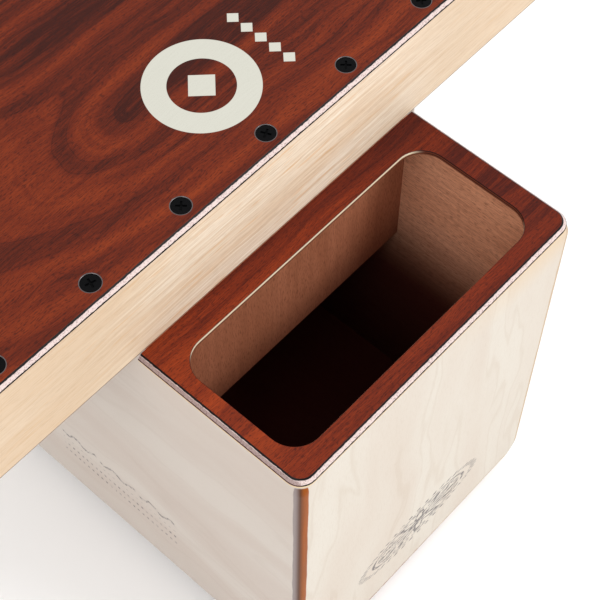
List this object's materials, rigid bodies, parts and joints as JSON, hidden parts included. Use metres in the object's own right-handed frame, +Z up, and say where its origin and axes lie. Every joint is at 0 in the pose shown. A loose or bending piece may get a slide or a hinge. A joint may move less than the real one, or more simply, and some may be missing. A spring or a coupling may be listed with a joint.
{
  "type": "lap cajon",
  "caption": "Hand drum for the lap: a wide shallow playing box over a deep narrow resonance box with an upward-facing sound port, and snares inside on a throw-off lever.",
  "frame": {"origin": "middle of the object's footprint, lever included, on the surface that the feet stand on", "axes": "+X along the playing box, -Y towards the sound port, +Z up"},
  "size_m": [0.465, 0.3586, 0.31],
  "materials": {
    "veneered_ply": "satin, dark red-brown veneer on laminated birch",
    "birch_ply": "satin clear lacquer on birch plywood",
    "birch_rail": "satin clear lacquer on pale straight-grained wood",
    "black_screw": "black oxide, semi-gloss",
    "bright_steel": "bright zinc",
    "nylon": "natural nylon",
    "beech_block": "plain planed wood",
    "brass_plate": "plain",
    "black_lever": "moulded, fine texture",
    "black_rubber": "matt"
  },
  "bodies": {
    "case": {"playing_surface": "veneered_ply", "surface_screws": "black_screw", "front_rail": "birch_rail", "back_rail": "birch_rail", "left_rail": "birch_rail", "right_rail": "birch_rail", "left_wing_floor": "birch_ply", "right_wing_floor": "birch_ply", "port_panel": "veneered_ply", "front_panel": "birch_ply", "left_side": "birch_ply", "right_side": "birch_ply", "back_panel": "birch_ply", "bottom_panel": "birch_ply", "chimney_wall": "birch_ply", "front_bush": "nylon", "back_bush": "nylon", "friction_washer": "nylon", "rubber_feet": "black_rubber", "foot_screws": "bright_steel"},
    "snare_unit": {"snare_rod": "bright_steel", "rod_collar": "bright_steel", "front_snare_block": "beech_block", "back_snare_block": "beech_block", "front_snare_plate": "brass_plate", "back_snare_plate": "brass_plate", "front_snare_wires": "bright_steel", "back_snare_wires": "bright_steel", "snare_screws": "bright_steel", "snare_lever": "black_lever", "lever_screw": "bright_steel"}
  },
  "joints": [
    {"name": "snare_throw_off", "type": "hinge", "parent": "case", "child": "snare_unit", "pos_m": [0.066, 0.04475, 0.283], "axis": [0, -1, 0], "range_deg": [0, 40]}
  ]
}
